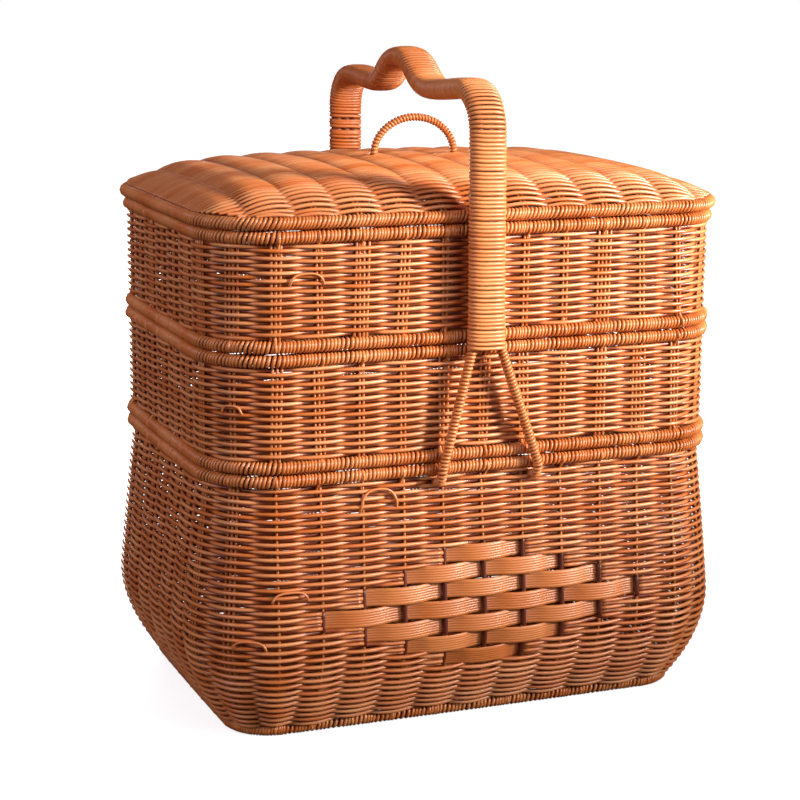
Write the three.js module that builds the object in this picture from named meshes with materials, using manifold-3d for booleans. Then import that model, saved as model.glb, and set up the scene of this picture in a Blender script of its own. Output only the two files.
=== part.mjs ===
// Tiered wicker basket: a bellied base, two trays and a domed lid, stacked between the legs of one handle.
// Millimetres. X runs along the long side, the front faces -Y and Z points up from the surface it stands on.
import * as THREE from 'three';
import { mergeVertices } from 'three/addons/utils/BufferGeometryUtils.js';
import Module from 'manifold-3d';

// Sizes over the rims and of the three tiers
const rimLength = 430;
const rimWidth = 300;
const cornerRadius = 55;
const sideBow = 1.5;
const baseHeight = 210;
const trayHeight = 90;
const rimThickness = 10;
const seatGap = 0.3;

// Woven walls: each row of cane stands out in front of every second stake and passes behind the ones between
const stakeCount = 40;
const rowPitch = 2.9;
const weaveAtStake = 8;
const weaveMidway = 2.8;
const rowBehind = 0.4;
const rowEdge = 0.2;
const trayWallInset = 1.2;

// Outline of the base, as distances of the wall's middle outwards from the rim's centre line
const bellyHeight = 80;
const bellyBulge = 9.3;
const footInset = 27;
const neckInset = 3;
const footCurve = 1.9;
const neckCurve = 1.1;
const footRimThickness = 10;
const footFlat = 0.5;
const footRimInset = 4;
const floorThickness = 5;
const floorRib = 1;
const cornerGap = 1;

// Diamond of flat straps on the front of the base
const diamondHeight = 97;
const strapRows = 7;
const strapPitch = 13.7;
const strapWidth = 13.1;
const strapThickness = 1.6;
const strapRidge = 0.5;
const strapRidges = 2;
const strapStake = 3.4;
const stakeEndGap = 0.8;
const strapGap = 0.5;
const strapTuck = 3.4;

// Lid
const lidOverhang = 3;
const lidShoulder = 22;
const lidCrown = 9;
const lidThickness = 3.9;
const lidRib = 2.5;
const lidRowDip = 1.8;
const lidHandleSpan = 69;
const lidHandleRise = 29;
const lidHandleThickness = 5.4;

// Carrying handle: two rods bound into one strap above a V whose feet hook under the base's rim
const handHeadroom = 38;
const strapLegWidth = 29;
const strapLegDepth = 15;
const legClearance = 1;
const shoulderRadius = 31;
const frontShoulderDrop = 17.5;
const backShoulderDrop = 21;
const frontDipDrop = 22;
const backDipDrop = 23.5;
const dipPlace = 64;
const dipEase = 18;
const strapLean = 7;
const strapFootLean = 5.2;
const leanEase = 20;
const bindingDrop = 2;
const boreOvershoot = 1;
const rodThickness = 8;
const rodSpacing = 19;
const vSpread = 79;
const frontHookShift = 2;
const hookTipRise = 1;

// Counts of facets
const rimSides = 8;
const rodSides = 8;
const cornerSteps = 4;
const shoulderSteps = 5;
const dipSteps = 2;
const humpSteps = 4;
const hookSteps = 5;
const lidHandleSteps = 12;
const strapSteps = 2;
const innerLevels = 6;
const levelSpread = 1.5;
const profileSteps = 120;

const rimRadius = rimThickness / 2;
const rodRadius = rodThickness / 2;
const rimReach = rimRadius / Math.cos(Math.PI / rimSides);
const halfLength = rimLength / 2 - rimRadius;
const halfWidth = rimWidth / 2 - rimRadius;
const traySeats = [baseHeight, baseHeight + trayHeight];
const lidSeat = baseHeight + 2 * trayHeight;

// Materials
const caneOrange = '#c8743a';
const caneDark = '#8a4424';
const caneGold = '#d9915a';
const woven = new THREE.MeshStandardMaterial({ color: caneOrange, roughness: 0.45, metalness: 0 });
const wrapped = new THREE.MeshStandardMaterial({ color: caneGold, roughness: 0.4, metalness: 0 });
const darkCane = new THREE.MeshStandardMaterial({ color: caneDark, roughness: 0.5, metalness: 0 });

// Closed solids and booleans
const wasm = await Module();
wasm.setup();

function closedGeometry(positions, indices) {
  const geometry = new THREE.BufferGeometry();
  geometry.setAttribute('position', new THREE.Float32BufferAttribute(positions, 3));
  const corner = (i) => new THREE.Vector3().fromArray(positions, 3 * i);
  let volume = 0;
  for (let i = 0; i < indices.length; i += 3) {
    volume += corner(indices[i]).dot(corner(indices[i + 1]).cross(corner(indices[i + 2])));
  }
  geometry.setIndex(volume > 0 ? indices : indices.slice().reverse());
  return geometry;
}

// Joins rings of points into one solid, either closed on itself or with a cap at each end
function loft(rings, closesOnItself) {
  const count = rings[0].length;
  const positions = rings.flat().flatMap((p) => [p.x, p.y, p.z]);
  const indices = [];
  const runs = closesOnItself ? rings.length : rings.length - 1;
  for (let i = 0; i < runs; i++) {
    for (let j = 0; j < count; j++) {
      const a = i * count + j;
      const b = i * count + ((j + 1) % count);
      const c = ((i + 1) % rings.length) * count + ((j + 1) % count);
      const d = ((i + 1) % rings.length) * count + j;
      indices.push(a, b, c, a, c, d);
    }
  }
  if (!closesOnItself) {
    const last = (rings.length - 1) * count;
    for (let j = 1; j < count - 1; j++) {
      indices.push(0, j + 1, j, last, last + j, last + j + 1);
    }
  }
  return closedGeometry(positions, indices);
}

function solidOf(geometry) {
  const bare = geometry.clone();
  bare.deleteAttribute('normal');
  bare.deleteAttribute('uv');
  const merged = mergeVertices(bare, 1e-4);
  return new wasm.Manifold(new wasm.Mesh({
    numProp: 3,
    vertProperties: new Float32Array(merged.attributes.position.array),
    triVerts: new Uint32Array(merged.index.array),
  }));
}

function geometryOf(solid) {
  const mesh = solid.getMesh();
  const geometry = new THREE.BufferGeometry();
  geometry.setAttribute('position', new THREE.Float32BufferAttribute(mesh.vertProperties, 3));
  geometry.setIndex([...mesh.triVerts]);
  return geometry;
}

function cutAway(geometry, tools) {
  return geometryOf(tools.reduce((solid, tool) => solid.subtract(solidOf(tool)), solidOf(geometry)));
}

function boxBetween(low, high) {
  const size = high.clone().sub(low);
  const middle = low.clone().add(high).multiplyScalar(0.5);
  return new THREE.BoxGeometry(size.x, size.y, size.z).translate(middle.x, middle.y, middle.z);
}

// Draws the corners of a rounded rectangle in, which leaves its sides bowed out
function bowed(x, y, length, width) {
  const bowX = 1 - (sideBow / length) * (y / width) ** 2;
  const bowY = 1 - (sideBow / width) * (x / length) ** 2;
  return new THREE.Vector2(x * bowX, y * bowY);
}

// Plan of the rims: a rounded rectangle walked from the middle of the front, its quarters mirrored
function planPoint(share, length, width, radius) {
  const arc = (Math.PI / 2) * radius;
  const quarter = length + width - 2 * radius + arc;
  const turned = 4 * (((share % 1) + 1) % 1);
  const way = quarter * (Math.floor(turned) % 2 ? 1 - (turned % 1) : turned % 1);
  const angle = THREE.MathUtils.clamp((way - (length - radius)) / radius, 0, Math.PI / 2);
  const x = Math.min(way, length - radius) + radius * Math.sin(angle);
  const y = width - radius + radius * Math.cos(angle) - Math.max(0, way - (length - radius) - arc);
  return bowed(turned < 2 ? x : -x, turned < 1 || turned >= 3 ? -y : y, length, width);
}

// A place on or beside the plan: share of the way round, distance outwards and height
function around(share, outwards, height, length = halfLength) {
  const step = 1e-3;
  const here = planPoint(share, length, halfWidth, cornerRadius);
  const before = planPoint(share - step, length, halfWidth, cornerRadius);
  const after = planPoint(share + step, length, halfWidth, cornerRadius);
  const along = after.sub(before).normalize();
  return new THREE.Vector3(here.x + along.y * outwards, here.y - along.x * outwards, height);
}

// Shares at which a rim turns: evenly through each corner, with one more place on each bowed side
function rimShares(length = halfLength) {
  const arc = (Math.PI / 2) * cornerRadius;
  const quarter = length + halfWidth - 2 * cornerRadius + arc;
  const corner = Array.from({ length: cornerSteps + 1 }, (_, i) => {
    return (length - cornerRadius + (arc * i) / cornerSteps) / quarter;
  });
  const turned = [0, ...corner];
  const onward = [1, ...corner.map((part) => 2 - part)];
  return [...turned, ...onward, ...turned.map((part) => part + 2), ...onward.map((part) => part + 2)]
    .sort((a, b) => a - b)
    .map((part) => part / 4);
}

// A wrapped rim is a rod bent round the plan; the foot's is cut flat where it stands
function rim(centreHeight, outwards = 0, radius = rimRadius, length = halfLength, lowest = -Infinity) {
  const section = roundOutline(radius, rimSides);
  const rings = rimShares(length).map((share) => section.map((p) => {
    return around(share, outwards + p.x, Math.max(centreHeight + p.y, lowest), length);
  }));
  return loft(rings, true);
}

// A closed skin over columns, each a chain of points on the outer face, one on the inner face and the
// number of its stake
function skin(columns, closesOnItself) {
  const points = [];
  const indices = [];
  const numbered = (chain) => chain.map((p) => points.push(p) - 1);
  const placed = columns.map(([outer, inner, stake]) => [numbered(outer), numbered(inner), stake]);
  const gap = (a, b) => (a === undefined || b === undefined ? Infinity : points[a].distanceTo(points[b]));
  const quad = (a, b, c, d) => indices.push(a, b, c, a, c, d);

  // Joins two chains that run the same way. Where they are as long, this goes row by row, and the seam
  // between two rows lies low, from where one passes behind its stake to where the next one does.
  const stitch = (left, right, stake = 0) => {
    const alike = left.length === right.length;
    let i = 0;
    let j = 0;
    while (i < left.length - 1 || j < right.length - 1) {
      const rowByRow = i < j || (i === j && (i + stake) % 2 !== 0);
      if (alike ? rowByRow : gap(left[i + 1], right[j]) <= gap(left[i], right[j + 1])) {
        indices.push(left[i], right[j], left[i + 1]);
        i += 1;
      } else {
        indices.push(left[i], right[j], right[j + 1]);
        j += 1;
      }
    }
  };

  const runs = closesOnItself ? columns.length : columns.length - 1;
  for (let k = 0; k < runs; k++) {
    const [outer, inner, stake] = placed[k];
    const [nextOuter, nextInner] = placed[(k + 1) % columns.length];
    stitch(outer, nextOuter, stake);
    stitch(nextInner, inner);
    quad(nextOuter[0], outer[0], inner[0], nextInner[0]);
    quad(outer.at(-1), nextOuter.at(-1), nextInner.at(-1), inner.at(-1));
  }
  if (!closesOnItself) {
    const [firstOuter, firstInner] = placed[0];
    const [lastOuter, lastInner] = placed.at(-1);
    stitch(firstInner, firstOuter);
    stitch(lastOuter, lastInner);
  }
  return closedGeometry(points.flatMap((p) => [p.x, p.y, p.z]), indices);
}

// Where rows of cane lie along a profile, one row pitch apart down its slope
function rowPlaces(from, to, heightAt) {
  const profile = new THREE.Path().setFromPoints(Array.from({ length: profileSteps + 1 }, (_, i) => {
    const place = from + ((to - from) * i) / profileSteps;
    return new THREE.Vector2(place, heightAt(place));
  }));
  const count = Math.round(profile.getLength() / rowPitch);
  return profile.getSpacedPoints(2 * count).filter((_, i) => i % 2).map((p) => p.x);
}

// Moves a place along a profile and away from it so that it stands off square to the slope
function standOff(place, heightAt, distance) {
  const slope = heightAt(place + 0.5) - heightAt(place - 0.5);
  const away = distance / Math.hypot(1, slope);
  return [place - slope * away, heightAt(place) + away];
}

// The outer face up one stake: its rows by turns stand out in front of it and pass behind it
function rowsUpStake(stake, bottom, top, middleAt) {
  const share = stake / stakeCount;
  const edge = (z) => around(share, middleAt(z) + weaveMidway / 2, z);
  const rows = rowPlaces(bottom, top, middleAt).map((place, row) => {
    const [z, out] = standOff(place, middleAt, (stake + row) % 2 ? -rowBehind : weaveAtStake / 2);
    return around(share, out, THREE.MathUtils.clamp(z, bottom + rowEdge, top - rowEdge));
  });
  return [edge(bottom), ...rows, edge(top)];
}

// The base's wall in columns at its stakes; its inner levels lie closer near the foot, where it curves most
function bellyWall(bottom, top, middleAt) {
  const columns = Array.from({ length: stakeCount }, (_, stake) => {
    const inner = Array.from({ length: innerLevels }, (_, k) => {
      const z = bottom + (top - bottom) * (k / (innerLevels - 1)) ** levelSpread;
      return around(stake / stakeCount, middleAt(z) - weaveAtStake / 2, z);
    });
    return [rowsUpStake(stake, bottom, top, middleAt), inner, stake];
  });
  return skin(columns, true);
}

// An upright wall in columns, full at each stake and thin midway between two
function trayWall(bottom, top) {
  const columns = Array.from({ length: 2 * stakeCount }, (_, i) => {
    const half = (i % 2 ? weaveMidway : weaveAtStake) / 2;
    return [half, -half].map((out) => {
      return [bottom, top].map((z) => around(i / (2 * stakeCount), out - trayWallInset, z));
    });
  });
  return skin(columns, true);
}

// Half the width of a rounded rectangle at x
function halfWidthAt(x, length, width, radius) {
  const past = Math.max(0, Math.abs(x) - (length - radius));
  return width - radius + Math.sqrt(Math.max(0, radius * radius - past * past));
}

// Distance between stakes along the rims
function stakePitch() {
  const total = 4 * (halfLength + halfWidth - 2 * cornerRadius) + 2 * Math.PI * cornerRadius;
  return total / stakeCount;
}

// Nearness of x to a stake that runs front to back: 1 on the stake and 0 midway between two
function ribAt(x) {
  const phase = Math.abs(x / stakePitch()) % 1;
  return 1 - 2 * Math.min(phase, 1 - phase);
}

// Where a sheet's last columns stand, as shares of its corners' radius from its end
const endShares = [0.1, 0.03, 0];

// A woven sheet inside a rounded rectangle, in columns at its stakes, midway between two where that is
// asked for or the corners are, and close together at its ends; a chain gives the pairs of y and z at x
function sheet(length, width, radius, topChain, underChain, midwayToo) {
  const step = stakePitch() / 2;
  const ends = endShares.map((share) => length - share * radius);
  const steps = Math.ceil((ends[0] - cornerGap) / step) - 1;
  const inside = Array.from({ length: steps }, (_, i) => i + 1).filter((number) => {
    return number % 2 === 0 || midwayToo || number * step > length - radius;
  });
  const half = [...inside.map((number) => number * step), ...ends];
  const columns = [...half.map((x) => -x).reverse(), 0, ...half].map((x) => {
    const reach = halfWidthAt(x, length, width, radius);
    const [top, under] = [topChain, underChain].map((chain) => chain(x, reach).map(([y, z]) => {
      const place = bowed(x, y, length, width);
      return new THREE.Vector3(place.x, place.y, z);
    }));
    return [top, under, Math.round(x / stakePitch())];
  });
  return skin(columns, false);
}

// Sweeps an outline along places
function sweep(places, outline, firstAxis) {
  const rings = framesAlong(places, firstAxis).map(({ place, u, v }) => {
    return outline.map((p) => place.clone().addScaledVector(u, p.x).addScaledVector(v, p.y));
  });
  return loft(rings, false);
}

// Each place with the two directions across the way; the first stays as near to the given axis as it can
function framesAlong(places, firstAxis) {
  return places.map((place, i) => {
    const before = places[Math.max(0, i - 1)];
    const after = places[Math.min(places.length - 1, i + 1)];
    const backward = place.clone().sub(before).normalize();
    const forward = after.clone().sub(place).normalize();
    const tangent = backward.add(forward).normalize();
    const u = firstAxis.clone().addScaledVector(tangent, -firstAxis.dot(tangent)).normalize();
    return { place, u, v: tangent.clone().cross(u) };
  });
}

function roundOutline(radius, sides, centreX = 0) {
  return Array.from({ length: sides }, (_, j) => {
    const angle = (2 * Math.PI * (j + 0.5)) / sides;
    const reach = radius / Math.cos(Math.PI / sides);
    return new THREE.Vector2(centreX + reach * Math.cos(angle), reach * Math.sin(angle));
  });
}

function bentRod(places, radius, firstAxis) {
  return sweep(places, roundOutline(radius, rodSides), firstAxis);
}

// The object
const basket = new THREE.Group();

function addPiece(name, geometry, material, parent = basket) {
  const flat = geometry.toNonIndexed();
  flat.computeVertexNormals();
  const mesh = new THREE.Mesh(flat, material);
  mesh.name = name;
  parent.add(mesh);
  return mesh;
}

// Base
const xAxis = new THREE.Vector3(1, 0, 0);
const yAxis = new THREE.Vector3(0, 1, 0);
const baseWallBottom = footRimThickness - footFlat + seatGap;
const baseWallTop = baseHeight - rimThickness - seatGap;

function bellyAt(z) {
  if (z < bellyHeight) {
    return bellyBulge - (bellyBulge + footInset) * ((bellyHeight - z) / bellyHeight) ** footCurve;
  }
  const aboveBelly = (z - bellyHeight) / (baseWallTop - bellyHeight);
  return bellyBulge - (bellyBulge + neckInset) * aboveBelly ** neckCurve;
}

// Rows of the diamond: the middle row reaches over the most stakes
const stakeSides = 6;
const stakeReach = strapStake / 2 / Math.cos(Math.PI / stakeSides);
const middleRow = (strapRows - 1) / 2;
const outerStake = middleRow + 1;
const rowHeight = (row) => diamondHeight + (middleRow - row) * strapPitch;
const rowReach = (row) => outerStake - Math.abs(row - middleRow);
const stakeShare = (number) => number / stakeCount;
const stakeX = (number) => around(stakeShare(number), 0, 0).x;

// The stepped window in the wall that the straps fill
function diamondWindow() {
  const rowsUp = Array.from({ length: strapRows }, (_, i) => strapRows - 1 - i);
  const right = rowsUp.flatMap((row) => {
    const x = stakeX(rowReach(row)) + strapTuck;
    return [[x, rowHeight(row) - strapPitch / 2], [x, rowHeight(row) + strapPitch / 2]];
  });
  const left = right.map(([x, z]) => [-x, z]).reverse();
  const outline = new THREE.Shape([...right, ...left].map(([x, z]) => new THREE.Vector2(x, z)));
  const depth = halfWidth;
  const tool = new THREE.ExtrudeGeometry(outline, { depth, bevelEnabled: false });
  return tool.rotateX(Math.PI / 2).translate(0, -halfWidth / 2, 0);
}

// A strap starts inside the outermost stake of its row, then passes outside every second stake
function strapFace(row, number, z, outwards) {
  const swing = stakeReach + strapGap + (strapThickness + strapRidge) / 2;
  const wave = -Math.cos(Math.PI * (number + rowReach(row)));
  return around(stakeShare(number), bellyAt(z) + swing * wave - strapRidge / 2 + outwards, z);
}

function strap(row) {
  const reach = rowReach(row);
  const tuck = (strapTuck - seatGap) / stakePitch();
  const steps = 2 * strapSteps * reach;
  const between = Array.from({ length: steps + 1 }, (_, i) => i / strapSteps - reach);
  const rings = [-reach - tuck, ...between, reach + tuck].map((number) => {
    const ring = [];
    for (let k = 0; k <= 2 * strapRidges; k++) {
      const z = rowHeight(row) + strapWidth * (k / (2 * strapRidges) - 0.5);
      ring.push(strapFace(row, number, z, strapThickness / 2 + (k % 2 ? strapRidge : 0)));
    }
    for (const side of [0.5, -0.5]) {
      ring.push(strapFace(row, number, rowHeight(row) + strapWidth * side, -strapThickness / 2));
    }
    return ring;
  });
  return loft(rings, false);
}

function diamondStake(number) {
  const steps = 2 * (outerStake - Math.max(1, Math.abs(number))) + 1;
  const high = diamondHeight + (strapPitch * steps) / 2 - stakeEndGap;
  const low = diamondHeight - (strapPitch * steps) / 2 + stakeEndGap;
  const places = Array.from({ length: steps + 1 }, (_, i) => {
    const z = low + ((high - low) * i) / steps;
    return around(stakeShare(number), bellyAt(z), z);
  });
  return sweep(places, roundOutline(strapStake / 2, stakeSides), xAxis);
}

// Feet of the carrying handle
const bindingFullness = 1.05;
const bindingHalf = (bindingFullness * strapLegDepth) / 2;
const legY = rimWidth / 2 + legClearance + bindingHalf;
const rodY = rimWidth / 2 + legClearance + rodRadius;
const hookX = (side, end) => (side * vSpread) / 2 + (end < 0 ? frontHookShift : 0);
const hookHeight = baseHeight - rimRadius;
const hookRadius = rodY - halfWidth;

// Notches in the base's wall through which the hooks pass
const notches = [[1, 1], [1, -1], [-1, 1], [-1, -1]].map(([sx, sy]) => {
  const half = rodRadius + 2 * seatGap;
  const bottom = hookHeight - hookRadius - rodRadius - 2 * seatGap;
  const nearY = sy * (halfWidth - 3 * rimThickness);
  const farY = sy * (halfWidth + 3 * rimThickness);
  const low = new THREE.Vector3(hookX(sx, sy) - half, Math.min(nearY, farY), bottom);
  const high = new THREE.Vector3(hookX(sx, sy) + half, Math.max(nearY, farY), baseHeight);
  return boxBetween(low, high);
});

const baseShell = bellyWall(baseWallBottom, baseWallTop, bellyAt);
addPiece('base_wall', cutAway(baseShell, [diamondWindow(), ...notches]), woven);
addPiece('base_top_rim', rim(baseHeight - rimRadius), wrapped);
const footRadius = footRimThickness / 2;
const footOutwards = bellyAt(baseWallBottom) - footRimInset;
addPiece('base_foot_rim', rim(footRadius - footFlat, footOutwards, footRadius, halfLength, 0), wrapped);

function wovenFloor(bottom, inset) {
  const length = halfLength - inset;
  const radius = cornerRadius - inset;
  const top = bottom + floorThickness - floorRib;
  const topChain = (x, reach) => [-reach, reach].map((y) => [y, top + floorRib * ribAt(x)]);
  const underChain = (x, reach) => [[-reach, bottom], [reach, bottom]];
  return sheet(length, halfWidth - inset, radius, topChain, underChain, true);
}

// Between two stakes the base's wall runs straight, which cuts its corners a little
const cornerCut = cornerRadius * (1 - Math.cos(stakePitch() / (2 * cornerRadius)));
const baseFloorInset = weaveAtStake / 2 + seatGap + cornerCut - bellyAt(baseWallBottom);
addPiece('base_floor', wovenFloor(baseWallBottom, baseFloorInset), woven);

for (let row = 0; row < strapRows; row++) {
  addPiece(`diamond_strap_${row + 1}`, strap(row), woven);
}
for (let number = -outerStake; number <= outerStake; number++) {
  addPiece(`diamond_stake_${number + outerStake + 1}`, diamondStake(number), darkCane);
}

// Trays
['lower', 'upper'].forEach((name, level) => {
  const bottom = traySeats[level] + seatGap;
  const top = traySeats[level] + trayHeight;
  const wallBottom = bottom + rimThickness + seatGap;
  const wallTop = top - rimThickness - seatGap;
  addPiece(`tray_${name}_wall`, trayWall(wallBottom, wallTop), woven);
  addPiece(`tray_${name}_bottom_rim`, rim(bottom + rimRadius), wrapped);
  addPiece(`tray_${name}_top_rim`, rim(top - rimRadius), wrapped);
  const floorBottom = wallBottom - 2 * seatGap - floorThickness;
  addPiece(`tray_${name}_floor`, wovenFloor(floorBottom, rimReach + seatGap + cornerGap), woven);
});

// Lid
const lidBottom = lidSeat + seatGap;
const lidHalfLength = halfLength + lidOverhang;
const lidInset = rimReach + seatGap + cornerGap;
const lidEdge = lidBottom + lidThickness;
const lidPanelLength = lidHalfLength - lidInset;
const lidPanelWidth = halfWidth - lidInset;
const lidRadius = cornerRadius - lidInset;

// The lid's top midway between two stakes
function lidTopAt(x, y) {
  const u = Math.abs(x) / lidPanelLength;
  const v = Math.abs(y) / lidPanelWidth;
  const shoulder = lidShoulder * (1 - u ** 8) * (1 - v ** 8);
  const crown = lidCrown * (1 - u * u) * (1 - v * v);
  return lidEdge + shoulder + crown;
}

// Rows run from end to end of the lid; over each stake they by turns stand up and pass below it
const lidAcross = [-1, -0.93, -0.75, -0.4, 0, 0.4, 0.75, 0.93, 1];
const lidRows = rowPlaces(-lidPanelWidth, lidPanelWidth, (y) => lidTopAt(0, y));

function lidFace(x, reach) {
  const topAt = (y) => lidTopAt(x, y);
  if (Math.abs(x) > lidPanelLength - lidRadius * endShares[0] - cornerGap) {
    return lidAcross.map((v) => [v * reach, topAt(v * reach)]);
  }
  const stake = Math.round(x / stakePitch());
  const rows = lidRows.map((place, row) => {
    const [y, z] = standOff(place, topAt, ((stake + row) % 2 ? -lidRowDip : lidRib) * ribAt(x));
    return [THREE.MathUtils.clamp(y, rowEdge - reach, reach - rowEdge), z];
  });
  const inside = rows.filter((_, row) => Math.abs(lidRows[row]) < reach - rowEdge);
  return [[-reach, topAt(-reach)], ...inside, [reach, topAt(reach)]];
}

const lidUnderside = (x, reach) => lidAcross.map((v) => [v * reach, lidTopAt(x, v * reach) - lidThickness]);
const lidSheet = sheet(lidPanelLength, lidPanelWidth, lidRadius, lidFace, lidUnderside, false);
const lidHandleFeet = [-1, 1].map((side) => {
  const half = lidHandleThickness / 2 + seatGap;
  const x = (side * lidHandleSpan) / 2;
  const low = new THREE.Vector3(x - half, -half, lidEdge);
  return boxBetween(low, new THREE.Vector3(x + half, half, lidEdge + lidShoulder + lidCrown + lidHandleRise));
});
addPiece('lid_panel', cutAway(lidSheet, lidHandleFeet), woven);
addPiece('lid_rim', rim(lidBottom + rimRadius, 0, rimRadius, lidHalfLength), wrapped);

// The lid's small handle is an arch whose feet pass through the lid
const lidHandleBase = lidTopAt(lidHandleSpan / 2, 0) + lidRib;
const lidHandleArch = Array.from({ length: lidHandleSteps + 1 }, (_, i) => {
  const angle = Math.PI * (1 - i / lidHandleSteps);
  const x = (lidHandleSpan / 2) * Math.cos(angle);
  return new THREE.Vector3(x, 0, lidHandleBase + lidHandleRise * Math.sin(angle));
});
const lidHandleFoot = lidHandleBase - lidRib - lidThickness;
const footEnd = (side) => new THREE.Vector3((side * lidHandleSpan) / 2, 0, lidHandleFoot);
const lidHandlePlaces = [footEnd(-1), ...lidHandleArch, footEnd(1)];
addPiece('lid_handle', bentRod(lidHandlePlaces, lidHandleThickness / 2, yAxis), wrapped);

// Carrying handle: the middle line over the basket, from the binding's foot in front to the one at the back
const bindingFoot = traySeats[1] - bindingDrop;
const crest = lidHandleBase + lidHandleRise + lidHandleThickness / 2 + handHeadroom + bindingHalf;

// Half of the arch in a side view, from the foot of a leg at the front up to the crest
function halfArch(shoulderDrop, dipDrop) {
  const shoulder = crest - shoulderDrop;
  const dip = crest - dipDrop;
  const radius = shoulderRadius;
  const bend = new THREE.Vector2(-legY + radius, shoulder - radius);
  const point = (y, z) => new THREE.Vector2(y, z);
  const shoulderEnd = point(bend.x, shoulder);
  const dipStart = point(-dipPlace, dip);
  const intoDip = [point(bend.x + dipEase, shoulder), point(-dipPlace - dipEase, dip)];
  const ontoHump = [point(-dipPlace / 2, dip), point(-dipPlace / 2, crest)];
  const curves = [
    [new THREE.LineCurve(point(-legY, bindingFoot), point(-legY, bend.y)), 1],
    [new THREE.EllipseCurve(bend.x, bend.y, radius, radius, Math.PI, Math.PI / 2, true), shoulderSteps],
    [new THREE.CubicBezierCurve(shoulderEnd, ...intoDip, dipStart), dipSteps],
    [new THREE.CubicBezierCurve(dipStart, ...ontoHump, point(0, crest)), humpSteps],
  ];
  return curves.flatMap(([curve, steps], i) => curve.getPoints(steps).slice(i ? 1 : 0));
}

// The strap stands a little to the left at the front and over the top, and straight down the back
function leanAt(y, z) {
  const ofFront = 1 - THREE.MathUtils.smoothstep(y, leanEase, legY - shoulderRadius);
  return ofFront * THREE.MathUtils.mapLinear(z, bindingFoot, crest, strapFootLean, strapLean);
}

function archPlaces() {
  const front = halfArch(frontShoulderDrop, frontDipDrop);
  const back = halfArch(backShoulderDrop, backDipDrop).slice(0, -1).reverse();
  const sideView = [...front, ...back.map((p) => new THREE.Vector2(-p.x, p.y))];
  return sideView.map((p) => new THREE.Vector3(-leanAt(p.x, p.y), p.x, p.y));
}

const arch = archPlaces();

// The binding is wound round both rods, so it has a bore for each
const bindingOutline = [
  [1, -0.4], [1, 0.4], [0.75, 0.95], [0, bindingFullness], [-0.75, 0.95],
  [-1, 0.4], [-1, -0.4], [-0.75, -0.95], [0, -bindingFullness], [0.75, -0.95],
].map(([x, y]) => new THREE.Vector2((x * strapLegWidth) / 2, (y * strapLegDepth) / 2));

const bores = [-1, 1].map((side) => {
  const outline = roundOutline(rodRadius + seatGap, rodSides, (side * rodSpacing) / 2);
  const longer = arch.slice();
  longer[0] = arch[0].clone().setZ(bindingFoot - boreOvershoot);
  longer[longer.length - 1] = arch[arch.length - 1].clone().setZ(bindingFoot - boreOvershoot);
  return sweep(longer, outline, xAxis);
});
addPiece('handle_binding', cutAway(sweep(arch, bindingOutline, xAxis), bores), wrapped);

// A rod's foot: down the V outside the rims, then under the base's rim and up on its inside
function hookPlaces(side, end) {
  const places = [];
  for (let i = 0; i <= hookSteps; i++) {
    const angle = (Math.PI * i) / hookSteps;
    const y = end * (halfWidth - hookRadius * Math.cos(angle));
    places.push(new THREE.Vector3(hookX(side, end), y, hookHeight - hookRadius * Math.sin(angle)));
  }
  places.unshift(places[0].clone().setZ(hookHeight + hookTipRise));
  return places;
}

function rodPlaces(side) {
  const inside = framesAlong(arch, xAxis).map(({ place, u }) => {
    return place.clone().addScaledVector(u, (side * rodSpacing) / 2);
  });
  const front = hookPlaces(side, -1);
  const back = hookPlaces(side, 1).reverse();
  return [...front, ...inside, ...back];
}

addPiece('handle_rod_left', bentRod(rodPlaces(-1), rodRadius, xAxis), wrapped);
addPiece('handle_rod_right', bentRod(rodPlaces(1), rodRadius, xAxis), wrapped);

export default basket;
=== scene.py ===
import math

import bpy
import numpy as np
from mathutils import Matrix


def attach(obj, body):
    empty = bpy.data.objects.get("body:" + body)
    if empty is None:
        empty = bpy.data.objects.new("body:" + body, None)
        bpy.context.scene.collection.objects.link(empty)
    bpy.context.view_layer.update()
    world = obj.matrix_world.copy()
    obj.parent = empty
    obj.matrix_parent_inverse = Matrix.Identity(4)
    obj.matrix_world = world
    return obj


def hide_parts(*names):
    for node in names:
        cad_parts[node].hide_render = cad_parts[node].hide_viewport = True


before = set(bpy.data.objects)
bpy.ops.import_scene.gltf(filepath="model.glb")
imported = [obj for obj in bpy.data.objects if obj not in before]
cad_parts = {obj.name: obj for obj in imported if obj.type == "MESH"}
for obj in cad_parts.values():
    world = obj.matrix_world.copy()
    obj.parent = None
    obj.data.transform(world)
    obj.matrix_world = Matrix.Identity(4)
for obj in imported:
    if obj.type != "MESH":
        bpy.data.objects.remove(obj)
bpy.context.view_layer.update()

# Woven wall of the base
# Round glossy plastic cane is woven by hand over forty uprights, one row in front of an upright and the
# next row behind it. The wall bellies out above a narrow foot and draws in again under its top rim.
MM = 0.001
HALF_LENGTH = 210.0
HALF_WIDTH = 145.0
CORNER = 55.0
BOW = 1.5
STAKES = 40
PERIMETER = 4 * (HALF_LENGTH + HALF_WIDTH - 2 * CORNER) + 2 * math.pi * CORNER
STAKE_PITCH = PERIMETER / STAKES
ROW_PITCH = 2.9
WEAVER = 1.66
WEAVE_SWING = 2.4
SWING_FULLNESS = 0.85
ROW_STEPS = 8
ROW_SIDES = 6
ROW_LOOSENESS = 0.1
UP = np.array([0, 0, 1.0])
chance = np.random.default_rng(21)


def unit(v):
    """The same directions, at length one."""
    return v / np.maximum(np.linalg.norm(v, axis=-1, keepdims=True), 1e-9)


def along(a, b):
    """How far each a reaches in the direction of its b."""
    return np.sum(a * b, axis=-1, keepdims=True)


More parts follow.
